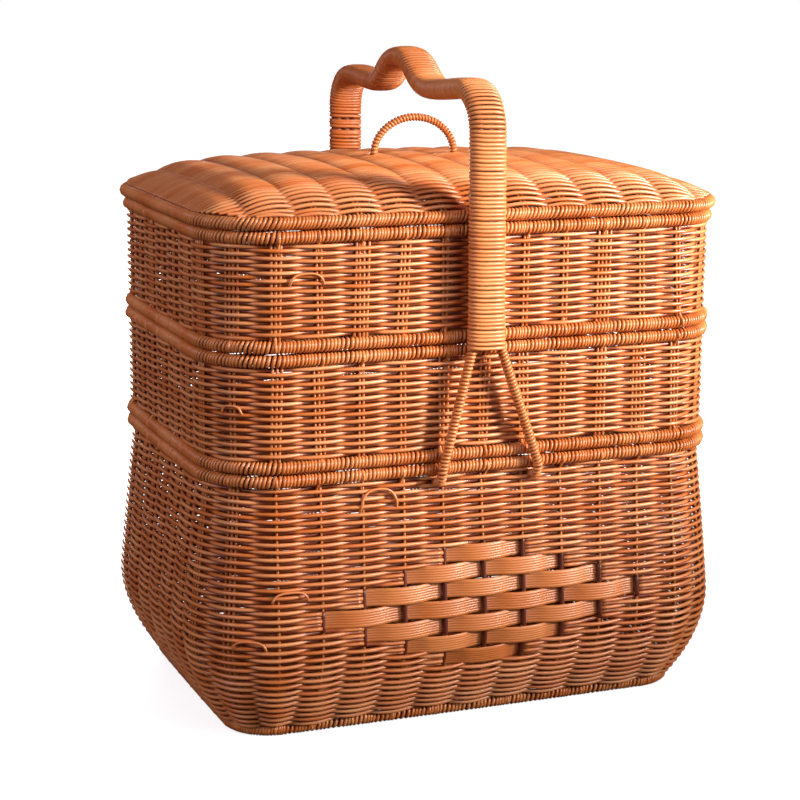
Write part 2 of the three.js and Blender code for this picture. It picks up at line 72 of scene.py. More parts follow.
def plan(share, length):
    """A rounded rectangle with bowed sides, walked from the middle of the front."""
    arc = math.pi / 2 * CORNER
    quarter = length + HALF_WIDTH - 2 * CORNER + arc
    turned = 4 * (share % 1)
    part = turned % 1
    way = quarter * np.where(np.floor(turned) % 2 == 1, 1 - part, part)
    angle = np.clip((way - (length - CORNER)) / CORNER, 0, math.pi / 2)
    x = np.minimum(way, length - CORNER) + CORNER * np.sin(angle)
    y = HALF_WIDTH - CORNER + CORNER * np.cos(angle) - np.maximum(0, way - (length - CORNER) - arc)
    x = np.where(turned < 2, x, -x)
    y = np.where((turned < 1) | (turned >= 3), -y, y)
    bow_x = 1 - BOW / length * (y / HALF_WIDTH) ** 2
    bow_y = 1 - BOW / HALF_WIDTH * (x / length) ** 2
    return np.stack([x * bow_x, y * bow_y], axis=-1)


def outward(share, length=HALF_LENGTH):
    """The level direction that faces out of the basket at a share of the way round."""
    step = 1e-3
    way = unit(plan(share + step, length) - plan(share - step, length))
    return np.stack([way[..., 1], -way[..., 0], np.zeros(way.shape[:-1])], axis=-1)


def around(share, out, height, length=HALF_LENGTH):
    """Points at shares of the way round, so far out of the plan's line and so high above the ground."""
    share, out, height = np.broadcast_arrays(share, out, height)
    place = plan(share, length)
    flat = np.concatenate([place, np.zeros(place.shape[:-1] + (1,))], axis=-1)
    up = np.stack([np.zeros(height.shape), np.zeros(height.shape), height], axis=-1)
    return flat + outward(share, length) * out[..., None] + up


def ring_angles(sides):
    """Angles of the corners of a cane's section, from its outer side on."""
    return 2 * math.pi * np.arange(sides) / sides


def cane_faces(number, runs):
    """Four-cornered faces from each ring of points to the next one along the cane."""
    beside = np.roll(number, -1, axis=2)
    after, after_beside = np.roll(number, -1, axis=1), np.roll(beside, -1, axis=1)
    return np.stack([corner[:, :runs] for corner in (number, beside, after_beside, after)], axis=-1)


def cane_maps(way_along, sides, cell):
    """The faces on two maps: one strip for each cell of the cane, and its real length in centimetres."""
    canes, runs = way_along.shape[0], way_along.shape[1] - 1
    run, side = np.indices((runs, sides))[..., None]
    ahead, aside = np.array([0, 0, 1, 1]), np.array([0, 1, 1, 0])
    cells_each = math.ceil(runs / cell)
    shape = (canes, runs, sides, 4)
    cell_of = np.broadcast_to(np.arange(canes)[:, None, None, None] * cells_each + run // cell, shape)
    u = np.broadcast_to((run % cell + ahead) / cell, shape)
    v = np.broadcast_to((side + aside) / sides, shape)
    far = way_along[:, run + ahead] / 10 + chance.uniform(0, 40, (canes, 1, 1, 1))
    bake, strand = (np.stack([value, v], axis=-1).reshape(-1, 2) for value in (u, far))
    return cell_of.reshape(-1), canes * cells_each, bake, strand


def strands(paths, side, radius, sides=ROW_SIDES, closed=False, cell=None, tone=None, depth=1.0, flat=1.0):
    """Round canes along paths of shape (canes, places, 3); side is the way their first axis faces.

    Tone goes from 0 for a dark cane to 1 for a light one, and depth from 0 for painted deep shade, where a
    cane lies deep between the others, to 1 for what is open to the light.
    """
    canes, places, _ = paths.shape
    side = np.broadcast_to(side, paths.shape)
    if closed:
        ahead, behind = np.roll(paths, -1, axis=1), np.roll(paths, 1, axis=1)
    else:
        ahead = np.concatenate([paths[:, 1:], paths[:, -1:]], axis=1)
        behind = np.concatenate([paths[:, :1], paths[:, :-1]], axis=1)
    way = unit(ahead - behind)
    first = unit(side - way * along(side, way))
    second = np.cross(way, first)
    turn = ring_angles(sides)[:, None]
    ring = np.cos(turn) * first[:, :, None] + flat * np.sin(turn) * second[:, :, None]
    points = paths[:, :, None] + radius * ring
    number = np.arange(canes * places * sides).reshape(canes, places, sides)
    runs = places if closed else places - 1
    cell = cell or runs
    step = np.linalg.norm(ahead - paths, axis=-1)[:, :runs]
    way_along = np.concatenate([np.zeros((canes, 1)), np.cumsum(step, axis=1)], axis=1)
    cell_of, cells, bake, strand = cane_maps(way_along, sides, cell)
    if tone is None:
        tone = chance.uniform(0, 1, (canes, 1))
    tone = np.broadcast_to(np.asarray(tone, float), (canes, places))
    length = float(way_along[:, -1].mean())
    girth = 2 * math.pi * radius
    ends = np.zeros((0, sides), int) if closed else np.concatenate([number[:, 0, ::-1], number[:, -1]])
    return {
        "points": points.reshape(-1, 3),
        "quads": cane_faces(number, runs).reshape(-1, 4),
        "caps": ends,
        "cell": cell_of,
        "cells": cells,
        "bake": bake,
        "strand": strand,
        "ratio": length * min(1, cell / runs) / girth,
        "area": length * girth * canes,
        "tone": np.broadcast_to(tone[:, :, None], (canes, places, sides)).reshape(-1),
        "depth": np.broadcast_to(depth, (canes, places, sides)).reshape(-1),
    }


def cane_mesh(name, points, corners, counts, maps, shades):
    """A smooth mesh in metres from points in millimetres, with its maps and its shades by name."""
    mesh = bpy.data.meshes.new(name)
    mesh.vertices.add(len(points))
    mesh.vertices.foreach_set("co", (points * MM).astype(np.float32).reshape(-1))
    mesh.loops.add(len(corners))
    mesh.loops.foreach_set("vertex_index", corners.astype(np.int32))
    starts = np.concatenate([[0], np.cumsum(counts)[:-1]])
    mesh.polygons.add(len(counts))
    mesh.polygons.foreach_set("loop_start", starts.astype(np.int32))
    mesh.polygons.foreach_set("loop_total", counts.astype(np.int32))
    mesh.polygons.foreach_set("use_smooth", np.ones(len(counts), bool))
    for layer, values in maps.items():
        mesh.uv_layers.new(name=layer).data.foreach_set("uv", values.astype(np.float32).reshape(-1))
    for layer, values in shades.items():
        values = np.clip(values, 0, 1).astype(np.float32)
        mesh.attributes.new(layer, "FLOAT", "POINT").data.foreach_set("value", values)
    mesh.update(calc_edges=True)
    return mesh


# The least share of the map that a part gets, and the margins round its strips.
LEAST_SHARE = 0.02
STRIP_MARGIN = 0.03
ROW_MARGIN = 0.04
CAP_STRIP = 0.012


def piece(name, parts, material, body, slot, *nodes):
    """One named mesh from all its canes, with a map on which each cane has a strip of its own."""
    total = sum(part["area"] for part in parts)
    shares = np.array([max(part["area"] / total, LEAST_SHARE) for part in parts])
    shares = shares / shares.sum()
    base, floor = 0, 0.0
    corners, counts, bake, strand = [], [], [], []
    for part, share in zip(parts, shares):
        columns = max(1, round(math.sqrt(part["cells"] / max(part["ratio"] * share, 0.01))))
        rows = math.ceil(part["cells"] / columns)
        column, row = part["cell"] % columns, part["cell"] // columns
        u = (column + STRIP_MARGIN + (1 - 2 * STRIP_MARGIN) * part["bake"][:, 0]) / columns
        v = floor + share * (row + ROW_MARGIN + (1 - 2 * ROW_MARGIN) * part["bake"][:, 1]) / rows
        bake.append(np.stack([u, v], axis=-1))
        strand.append(part["strand"])
        corners.append((part["quads"] + base).reshape(-1))
        counts.append(np.full(len(part["quads"]), 4))
        caps, sides = part["caps"].shape
        if caps:
            angle = ring_angles(sides)
            disc = np.stack([0.5 + 0.5 * np.cos(angle), 0.5 + 0.5 * np.sin(angle)], axis=-1)
            across = (np.arange(caps)[:, None] + 0.1 + 0.8 * disc[None, :, 0]) / caps
            upward = np.broadcast_to(floor + CAP_STRIP * share / rows * disc[None, :, 1], across.shape)
            bake.append(np.stack([across, upward], axis=-1).reshape(-1, 2))
            strand.append(np.tile(disc * 0.3, (caps, 1)))
            corners.append((part["caps"] + base).reshape(-1))
            counts.append(np.full(caps, sides))
        base += len(part["points"])
        floor += share
    of_points = {key: np.concatenate([part[key] for part in parts]) for key in ("points", "tone", "depth")}
    points = of_points.pop("points")
    maps = {"OFBake": np.concatenate(bake), "strand": np.concatenate(strand)}
    mesh = cane_mesh(name, points, np.concatenate(corners), np.concatenate(counts), maps, of_points)
    mesh.materials.append(material)
    made = bpy.data.objects.new(name, mesh)
    bpy.context.scene.collection.objects.link(made)
    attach(made, body)
    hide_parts(*nodes)


def add_node(tree, kind, **values):
    """A shader node with its sockets set by name; a socket given as an output is linked."""
    node = tree.nodes.new(kind)
    for key, value in values.items():
        if hasattr(node, key):
            setattr(node, key, value)
            continue
        socket = node.inputs[key.replace("_", " ")]
        if isinstance(value, bpy.types.NodeSocket):
            tree.links.new(value, socket)
        else:
            socket.default_value = value
    return node


STREAK_STRETCH = (0.35, 9.0, 1.0)
DEPTH_CURVE = 1.05


def cane_surface():
    """Streaks, mottle, painted shade between the canes and shine of extruded plastic cane, shared by every
    cane on the basket.
    """
    tree = bpy.data.node_groups.new("cane_surface", "ShaderNodeTree")
    face = tree.interface
    for name in ("Light", "Middle", "Deep"):
        face.new_socket(name=name, in_out="INPUT", socket_type="NodeSocketColor")
    for name, value in (("Streaks", 0.25), ("Mottle", 0.2), ("Gloss", 0.32)):
        face.new_socket(name=name, in_out="INPUT", socket_type="NodeSocketFloat").default_value = value
    for name, kind in (("Color", "Color"), ("Roughness", "Float"), ("Height", "Float")):
        face.new_socket(name=name, in_out="OUTPUT", socket_type=f"NodeSocket{kind}")
    given = tree.nodes.new("NodeGroupInput").outputs
    lengthwise = add_node(tree, "ShaderNodeUVMap", uv_map="strand").outputs["UV"]
    tone = add_node(tree, "ShaderNodeAttribute", attribute_name="tone").outputs["Fac"]
    depth = add_node(tree, "ShaderNodeAttribute", attribute_name="depth").outputs["Fac"]
    place = tree.nodes.new("ShaderNodeTexCoord").outputs["Object"]
    stretched = add_node(tree, "ShaderNodeVectorMath", operation="MULTIPLY")
    tree.links.new(lengthwise, stretched.inputs[0])
    stretched.inputs[1].default_value = STREAK_STRETCH
    streak = add_node(tree, "ShaderNodeTexNoise", Vector=stretched.outputs[0], Scale=2.0, Detail=4.0)
    patches = add_node(tree, "ShaderNodeTexNoise", Vector=place, Scale=26.0, Detail=3.0)
    grain = add_node(tree, "ShaderNodeTexNoise", Vector=place, Scale=900.0, Detail=2.0)

    def math_node(operation, a, b, clamp=False):
        """A sum, product or power of two values, each a number or the output of another node."""
        node = add_node(tree, "ShaderNodeMath", operation=operation, use_clamp=clamp)
        for socket, value in zip(node.inputs, (a, b)):
            if isinstance(value, bpy.types.NodeSocket):
                tree.links.new(value, socket)
            else:
                socket.default_value = value
        return node.outputs[0]

    def about_zero(noise, amount):
        """Noise that swings evenly to both sides of zero."""
        return math_node("MULTIPLY", math_node("SUBTRACT", noise.outputs["Fac"], 0.5), amount)

    def mix(factor, a, b):
        """One colour over another; the colour sockets of a mix node are its inputs 6 and 7 and output 2."""
        node = add_node(tree, "ShaderNodeMix", data_type="RGBA", clamp_factor=True)
        tree.links.new(factor, node.inputs["Factor"])
        tree.links.new(a, node.inputs[6])
        tree.links.new(b, node.inputs[7])
        return node.outputs[2]

    blotch = about_zero(patches, given["Mottle"])
    fine = about_zero(streak, given["Streaks"])
    worn = about_zero(grain, 0.18)
    wander = math_node("ADD", math_node("MULTIPLY", blotch, 4.0), math_node("MULTIPLY", fine, 4.0))
    lightness = math_node("ADD", math_node("MULTIPLY", tone, 0.75), wander, True)
    surface = mix(lightness, given["Middle"], given["Light"])
    # Painted shade: the deep colour is laid over the cane where its depth is low, between and behind other
    # canes.
    colour = mix(math_node("POWER", depth, DEPTH_CURVE, True), given["Deep"], surface)
    rough = math_node("ADD", math_node("ADD", given["Gloss"], worn), math_node("MULTIPLY", fine, 0.5), True)
    height = math_node("ADD", streak.outputs["Fac"], math_node("MULTIPLY", grain.outputs["Fac"], 0.35))
    out = tree.nodes.new("NodeGroupOutput").inputs
    for name, value in (("Color", colour), ("Roughness", rough), ("Height", height)):
        tree.links.new(value, out[name])
    return tree


def srgb(red, green, blue):
    """A colour as seen on a screen, 0 to 255, as the linear value that a shader takes."""
    values = [c / 255 for c in (red, green, blue)]
    return (*[c / 12.92 if c <= 0.04045 else ((c + 0.055) / 1.055) ** 2.4 for c in values], 1.0)


surface_group = cane_surface()


def cane_material(name, light, middle, deep, streaks, mottle, gloss, relief):
    """Glossy plastic cane between a light and a middle colour, and a deep one where it lies in shade."""
    material = bpy.data.materials.new(name)
    material.use_nodes = True
    tree = material.node_tree
    shader = tree.nodes["Principled BSDF"]
    group = add_node(tree, "ShaderNodeGroup", node_tree=surface_group)
    for key, value in (("Light", light), ("Middle", middle), ("Deep", deep)):
        group.inputs[key].default_value = srgb(*value)
    for key, value in (("Streaks", streaks), ("Mottle", mottle), ("Gloss", gloss)):
        group.inputs[key].default_value = value
    bump = add_node(tree, "ShaderNodeBump", Strength=relief, Distance=0.0002)
    tree.links.new(group.outputs["Height"], bump.inputs["Height"])
    tree.links.new(group.outputs["Color"], shader.inputs["Base Color"])
    tree.links.new(group.outputs["Roughness"], shader.inputs["Roughness"])
    tree.links.new(bump.outputs["Normal"], shader.inputs["Normal"])
    for key, value in (("IOR", 1.5), ("Coat Weight", 0.3), ("Coat Roughness", 0.32)):
        shader.inputs[key].default_value = value
    return material


woven_cane = cane_material(
    "woven_cane", light=(243, 165, 106), middle=(209, 110, 43), deep=(120, 38, 6),
    streaks=0.22, mottle=0.22, gloss=0.38, relief=0.3,
)

BELLY_HEIGHT = 80.0
BELLY_BULGE = 9.3
BELLY_ROUNDNESS = 1.9
FOOT_INSET = 27.0
NECK_INSET = 3.0
NECK_ROUNDNESS = 1.1
WALL_BOTTOM = 9.8
WALL_TOP = 199.7


def belly(z):
    """How far the wall stands out of the plan's line at a height."""
    below = np.clip(BELLY_HEIGHT - z, 0, None) / BELLY_HEIGHT
    above = np.clip(z - BELLY_HEIGHT, 0, None) / (WALL_TOP - BELLY_HEIGHT)
    low = BELLY_BULGE - (BELLY_BULGE + FOOT_INSET) * below ** BELLY_ROUNDNESS
    high = BELLY_BULGE - (BELLY_BULGE + NECK_INSET) * above ** NECK_ROUNDNESS
    return np.where(z < BELLY_HEIGHT, low, high)


def belly_slope(z):
    """How far the wall moves out over one millimetre of height."""
    return belly(z + 0.5) - belly(z - 0.5)


def swing_at(phase, row):
    """How far a row stands out of the wall's middle, from 1 before an upright to -1 behind it."""
    wave = np.cos(math.pi * phase) * (1 - 2 * (row % 2))
    return np.sign(wave) * np.abs(wave) ** SWING_FULLNESS


# Waves in which the rows sag: size, times round the basket, how fast they shift with height, and start.
SAG_WAVES = ((0.45, 3, 37, 1.0), (0.28, 11, 19, 4.0))


def sag(share, z):
    """Rows wander a little up and down, and neighbours wander together."""
    return sum(
        size * np.sin(2 * math.pi * times * share + z / rise + start)
        for size, times, rise, start in SAG_WAVES
    )


# Where a row ends, its swing goes down to this share over this part of the way between two uprights.
END_SWING = 0.2
END_EASE = 0.8


def wall_rows(heights, numbers, middle, slope, start=0.0, end=1.0, weaver=WEAVER):
    """Rows of a woven wall between two shares of the way round; a full turn is closed on itself."""
    closed = end - start >= 1
    steps = max(2, round((end - start) * STAKES * ROW_STEPS))
    share = np.linspace(start, end, steps + 1)[:-1 if closed else None][None]
    z = np.asarray(heights, float)[:, None]
    wave = swing_at(share * STAKES, np.asarray(numbers)[:, None])
    lean = 1 / np.sqrt(1 + slope(z) ** 2)
    if not closed:
        inwards = np.clip(np.minimum(share - start, end - share) * STAKES / END_EASE, 0, 1)
        wave = wave * (END_SWING + (1 - END_SWING) * inwards)
    shift = WEAVE_SWING * wave
    loose = chance.normal(0, ROW_LOOSENESS, (len(heights), 1))
    height = z - shift * slope(z) * lean + sag(share, z) + loose
    paths = around(share, middle(z) + shift * lean, height)
    side = outward(share) * lean[..., None] + UP * (-slope(z) * lean)[..., None]
    # Painted shade: a row is painted towards the deep colour the nearer it lies to the wall's middle,
    # between the other rows and behind the uprights.
    out = shift[..., None] + weaver * np.cos(ring_angles(ROW_SIDES))
    depth = np.clip(np.abs(out) / (WEAVE_SWING * np.abs(wave)[..., None] + weaver), 0, 1)
    shade = 0.25 * np.sin(7 * share * math.pi * 2 + z)
    tone = np.clip(0.5 + chance.normal(0, 0.22, z.shape) + shade, 0, 1)
    return strands(paths, side, weaver, closed=closed, tone=tone, depth=depth)


SPLICE_CANE = 0.95
SPLICE_FOOT = 0.6
SPLICE_REACH = 4.2


def splice(stake, z, stakes_wide, drop, middle):
    """The end of a joined-in cane, which comes out of the wall and curls over the rows and back into it."""
    angle = np.linspace(math.pi, 0, 21)
    across = np.sign(np.cos(angle)) * np.abs(np.cos(angle)) ** 0.7
    rise = np.sin(angle) ** 0.8
    share = ((stake + stakes_wide / 2 * across) / STAKES)[None]
    height = (z + drop * (rise - 1))[None]
    out = middle(height) + SPLICE_FOOT + SPLICE_REACH * np.minimum(1, 3 * rise)[None]
    return strands(around(share, out, height), outward(share), SPLICE_CANE, tone=0.5)


def row_heights(bottom, top, pitch, slope):
    """Heights of rows that lie one on another down a sloping wall."""
    fine = np.linspace(bottom, top, 400)
    length = np.concatenate([[0], np.cumsum(np.sqrt(1 + slope(fine[1:]) ** 2) * np.diff(fine))])
    count = int(round(length[-1] / pitch))
    return np.interp((np.arange(count) + 0.5) * length[-1] / count, length, fine)


# The rows stop on both sides of the diamond, so its steps are laid out with them. A splice has its place
# in uprights from the middle of the front, its height, its width in uprights and its drop.
DIAMOND_HEIGHT = 97.0
STRAP_ROWS = 7
STRAP_PITCH = 13.7
ROW_STOP = 0.04
BASE_SPLICES = ((-2.6, 194, 0.88, 18), (-4.75, 123, 0.74, 9), (-5.55, 86.5, 0.62, 8))
middle_row = (STRAP_ROWS - 1) // 2
strap_height = [DIAMOND_HEIGHT + (middle_row - row) * STRAP_PITCH for row in range(STRAP_ROWS)]
strap_reach = [middle_row + 1 - abs(row - middle_row) for row in range(STRAP_ROWS)]

heights = row_heights(WALL_BOTTOM, WALL_TOP, ROW_PITCH, belly_slope)
numbers = np.arange(len(heights))
in_strap = np.full(len(heights), -1)
for row, z in enumerate(strap_height):
    in_strap[np.abs(heights - z) < STRAP_PITCH / 2] = row
# The weave is two meshes, one above the other, so that neither holds too many faces.
WEAVE_SPLIT = 75.0
for name, low in (("base_weave_low", True), ("base_weave_high", False)):
    parts = []
    for row in range(-1, STRAP_ROWS):
        chosen = (in_strap == row) & ((heights < WEAVE_SPLIT) == low)
        if not chosen.any():
            continue
        reach = (strap_reach[row] + ROW_STOP) / STAKES if row >= 0 else 0.0
        parts.append(wall_rows(heights[chosen], numbers[chosen], belly, belly_slope, reach, 1 - reach))
    if not low:
        parts += [splice(*values, belly) for values in BASE_SPLICES]
    piece(name, parts, woven_cane, "base_and_handle", "woven_cane", "base_wall")

# Uprights of the base
# Each upright is a bundle of one to three thinner canes that stand side by side between foot and rim,
# and lean a little as they rise. The rows of the wall hold them in place.
STAKE_RADIUS = 1.2
STAKE_GAP = 3.3
BUNDLE_LEAN = 0.9
CANE_LEAN = 0.35
SINGLE_STAKES = [36, 37, 38, 39, 0, 1, 2, 3, 4]
TRIPLE_STAKES = slice(8, 33)


def uprights(bottom, top, middle, counts, levels):
    """Bundles of canes through the middle of a wall, each cane at its own place in the bundle."""
    share, lean = [], []
    for stake, count in enumerate(counts):
        tilt = chance.normal(0, BUNDLE_LEAN)
        for k in range(count):
            share.append(stake / STAKES + (k - (count - 1) / 2) * STAKE_GAP / PERIMETER)
            lean.append((tilt + chance.normal(0, CANE_LEAN)) / PERIMETER)
    share, lean = np.array(share)[:, None], np.array(lean)[:, None]
    z = np.linspace(bottom, top, levels)[None]
    rise = (z - bottom) / (top - bottom) - 0.5
    places = share + 2 * lean * rise
    tone = chance.uniform(0.2, 0.9, share.shape)
    paths = around(places, middle(z), z)
    # Painted shade: the uprights are painted partly in the deep colour, as they lie between the rows.
    return strands(paths, outward(places), STAKE_RADIUS, sides=5, tone=tone, depth=0.8)


stake_cane = cane_material(
    "stake_cane", light=(234, 154, 92), middle=(198, 104, 40), deep=(114, 36, 8),
    streaks=0.2, mottle=0.2, gloss=0.4, relief=0.3,
)
base_counts = chance.integers(1, 4, STAKES)
base_counts[SINGLE_STAKES] = 1
base_counts[TRIPLE_STAKES] = 3
base_canes = uprights(WALL_BOTTOM, WALL_TOP + 2, belly, base_counts, 26)
piece("base_uprights", [base_canes], stake_cane, "base_and_handle", "stake_cane", "base_wall")

# Wrapped rims of the base
# The top rim and the foot are rods bent round the basket, wound closely with cane. At most uprights one
# cane comes out of the wall and is laid over the rim among the turns.
RIM_RADIUS = 5.0
RIM_FULLNESS = 0.11
RIM_CORE = 2.6
WRAP = 1.46
WRAP_PITCH = 2.95
WRAP_SLANT = 0.3
WRAP_STEPS = 10
WRAP_SIDES = 5
# Waves round a rim in the spacing, the reach and the tone of its turns: size, and times round the rim.
SPACING_WAVES = ((0.35, 23), (0.2, 71))
REACH_WAVES = ((0.03, 37),)
TONE_WAVES = ((0.3, 13.3),)
LOOP_CANE = 1.25
LOOP_WANDER = 1.2
LOOP_ANGLES = np.radians(np.array([-62, -40, -18, 4, 26, 48, 66]))
LOOP_REACH = np.array([3.9, 4.25, 4.45, 4.45, 4.2, 3.7, 3.2])
BASE_RIM_HEIGHT = 205.0
NECK_HEIGHT = 199.0
FOOT_HEIGHT = 10.0
FOOT_TUCK = 4.0
wrapped_cane = cane_material(
    "wrapped_cane", light=(240, 160, 97), middle=(208, 110, 43), deep=(86, 26, 4),
    streaks=0.2, mottle=0.14, gloss=0.36, relief=0.3,
)


def turn_depth(middle=0.5, swing=0.62):
    """Painted shade round a wound cane: open to the light on its outer side, and painted deep where it lies
    against its rod.
    """
    return np.clip(middle + swing * np.cos(ring_angles(WRAP_SIDES)), 0, 1)[None, None]


def waves(t, turns, shape):
    """The sum of some waves at each turn of a winding."""
    return sum(size * np.sin(2 * math.pi * times * t / turns) for size, times in shape)


def rim_turns(z, out=0.0, length=HALF_LENGTH, slant=WRAP_SLANT):
    """Cane wound round a rim's rod, with a rod inside painted in the deep shade colour, which closes the
    gaps between the turns.
    """
    ring = PERIMETER + 4 * (length - HALF_LENGTH) + 2 * math.pi * out
    turns = round(ring / WRAP_PITCH)
    t = np.arange(turns * WRAP_STEPS) / WRAP_STEPS
    angle = 2 * math.pi * t
    share = (t + waves(t, turns, SPACING_WAVES)) / turns + slant * np.sin(angle) / ring
    reach = RIM_RADIUS + RIM_FULLNESS - WRAP + waves(t, turns, REACH_WAVES)
    paths = around(share, out + reach * np.cos(angle), z + reach * np.sin(angle), length)[None]
    side = outward(share, length) * np.cos(angle)[:, None] + UP * np.sin(angle)[:, None]
    tone = 0.5 + waves(t, turns, TONE_WAVES) + chance.normal(0, 0.12, t.shape)
    wound = strands(
        paths, side[None], WRAP, sides=WRAP_SIDES, closed=True, cell=WRAP_STEPS, tone=tone[None],
        depth=turn_depth(),
    )
    rod = np.linspace(0, 1, 145)[:-1][None]
    inner, facing = around(rod, out, z, length), outward(rod, length)
    core = strands(inner, facing, RIM_CORE, sides=8, closed=True, tone=0.2, depth=0.1)
    return [wound, core]


def rim_loops(z, up, middle, wall_z, out=0.0, keep=0.8):
    """Ends of the uprights laid over a rim: keep is their share, and up is 1 for a rim above the wall."""
    stakes = np.arange(STAKES)[chance.uniform(0, 1, STAKES) < keep]
    share = (stakes / STAKES + chance.normal(0, LOOP_WANDER, len(stakes)) / PERIMETER)[:, None]
    outs = np.concatenate([[middle, middle + 0.6], out + LOOP_REACH * np.cos(LOOP_ANGLES)])
    over = z + up * LOOP_REACH * np.sin(LOOP_ANGLES)
    rises = np.concatenate([[wall_z - up * 7, wall_z - up * 1.5], over])
    # The laid-over ends are painted a little towards the deep shade colour.
    return strands(around(share, outs[None], rises[None]), outward(share), LOOP_CANE, depth=0.95)


neck_out, foot_out = float(belly(NECK_HEIGHT)), float(belly(WALL_BOTTOM)) - FOOT_TUCK
top_wrap = rim_turns(BASE_RIM_HEIGHT) + [rim_loops(BASE_RIM_HEIGHT, 1, neck_out, NECK_HEIGHT)]
piece("base_top_rim_wrap", top_wrap, wrapped_cane, "base_and_handle", "wrapped_cane", "base_top_rim")
foot_wrap = rim_turns(RIM_RADIUS, foot_out)
foot_wrap.append(rim_loops(RIM_RADIUS, -1, foot_out + FOOT_TUCK, FOOT_HEIGHT, foot_out, keep=1.0))
piece("base_foot_rim_wrap", foot_wrap, wrapped_cane, "base_and_handle", "wrapped_cane", "base_foot_rim")

# Floor of the base
# Canes run across the basket in pairs, and rows of cane are woven over and under them from end to end.
# Its edge is held inside the foot.
FLOOR_ROW_PITCH = 3.05
FLOOR_WEAVER = 1.3
FLOOR_SWING = 1.15
FLOOR_CANE = 1.0
CROSSING_GAP = 3.2
ROW_EASE = 0.86
CROSSING_EASE = 0.9
BASE_FLOOR_HEIGHT = 12.3
BASE_FLOOR_INSET = 24.2


def half_across(x, length, width, radius):
    """Half the width of a rounded sheet at places along it."""
    past = np.clip(np.abs(x) - (length - radius), 0, None)
    return width - radius + np.sqrt(np.clip(radius * radius - past * past, 0, None))


def closer_at_ends(count, ease):
    """Places from -1 to 1 that lie closer together at both ends, where a sheet bends down."""
    return np.sin(np.linspace(-1, 1, count) * math.pi / 2 * ease) / math.sin(math.pi / 2 * ease)


def woven_sheet(length, width, radius, height, row_pitch, weaver, swing, steps, sides):
    """Rows from end to end of a rounded sheet, over and under the canes that cross it."""
    fine = np.linspace(-width, width, 600)
    rise = height(0 * fine, fine)
    travel = np.concatenate([[0], np.cumsum(np.hypot(np.diff(fine), np.diff(rise)))])
    count = int(round(travel[-1] / row_pitch))
    rows = np.interp((np.arange(count) + 0.5) * travel[-1] / count, travel, fine)[:, None]
    reach = half_across(rows, width, length, radius)
    x = reach * closer_at_ends(round(2 * length / STAKE_PITCH * steps) + 1, ROW_EASE)[None]
    y = rows + 0 * x
    step = 0.5
    slope_x = (height(x + step, y) - height(x - step, y)) / (2 * step)
    slope_y = (height(x, y + step) - height(x, y - step)) / (2 * step)
    normal = unit(np.stack([-slope_x, -slope_y, np.ones(x.shape)], axis=-1))
    wave = swing_at(x / STAKE_PITCH, np.arange(count)[:, None])
    shift = (swing * wave)[..., None]
    paths = np.stack([x, y, height(x, y)], axis=-1) + normal * shift
    # Painted shade: a row is painted towards the deep colour the nearer it lies to the sheet's middle,
    # between the other rows and the crossing canes.
    out = shift + weaver * np.cos(ring_angles(sides))
    depth = np.abs(out) / (swing * np.abs(wave)[..., None] + weaver)
    tone = np.clip(0.5 + chance.normal(0, 0.2, (count, 1)) + 0.2 * np.sin(x / 40 + y / 9), 0, 1)
    return strands(paths, normal, weaver, sides=sides, tone=tone, depth=depth)


def crossing_canes(length, width, radius, height, cane, levels=30):
    """Pairs of canes that run from front to back through the middle of a woven sheet."""
    x = []
    for stake in range(-int(length / STAKE_PITCH), int(length / STAKE_PITCH) + 1):
        x += [stake * STAKE_PITCH - CROSSING_GAP / 2, stake * STAKE_PITCH + CROSSING_GAP / 2]
    x = np.array([value for value in x if abs(value) < length - 3])[:, None]
    y = half_across(x, length, width, radius) * closer_at_ends(levels, CROSSING_EASE)[None]
    x = x + 0 * y
    paths = np.stack([x, y, height(x, y)], axis=-1)
    # Painted shade: the crossing canes are painted partly in the deep colour, as they lie under the rows.
    return strands(paths, UP, cane, sides=5, depth=0.7)


def floor_parts(z, inset):
    """A level floor at a height, whose edge lies so far inside the plan's line."""
    outline = HALF_LENGTH - inset, HALF_WIDTH - inset, CORNER - inset

    def level(x, y):
        """The floor's height, the same at every place."""
        return z + 0.0 * (x + y)

    rows = woven_sheet(*outline, level, FLOOR_ROW_PITCH, FLOOR_WEAVER, FLOOR_SWING, steps=4, sides=4)
    return [rows, crossing_canes(*outline, level, FLOOR_CANE, levels=8)]


base_floor = floor_parts(BASE_FLOOR_HEIGHT, BASE_FLOOR_INSET)
piece("base_floor_weave", base_floor, woven_cane, "base_and_handle", "woven_cane", "base_floor")

# Diamond on the front of the base
# Seven flat straps of ribbed plastic take the place of the round cane and form a stepped diamond. Each
# passes over every second upright and starts and ends behind one.
STRAP_WIDTH = 13.5
STRAP_THICKNESS = 1.6
STRAP_RIBS = 7
RIB_RELIEF = 0.42
STRAP_SWING = 2.95
STRAP_SINK = 0.25
STRAP_TUCK = 3.1
STRAP_STEPS = 10
STRAP_EDGE = 0.05
STRAP_GIRTH = 28.0
STREAK_SHIFT = 7.3
flat_strap = cane_material(
    "flat_strap", light=(236, 148, 82), middle=(206, 108, 38), deep=(100, 34, 8),
    streaks=0.34, mottle=0.2, gloss=0.46, relief=0.2,
)


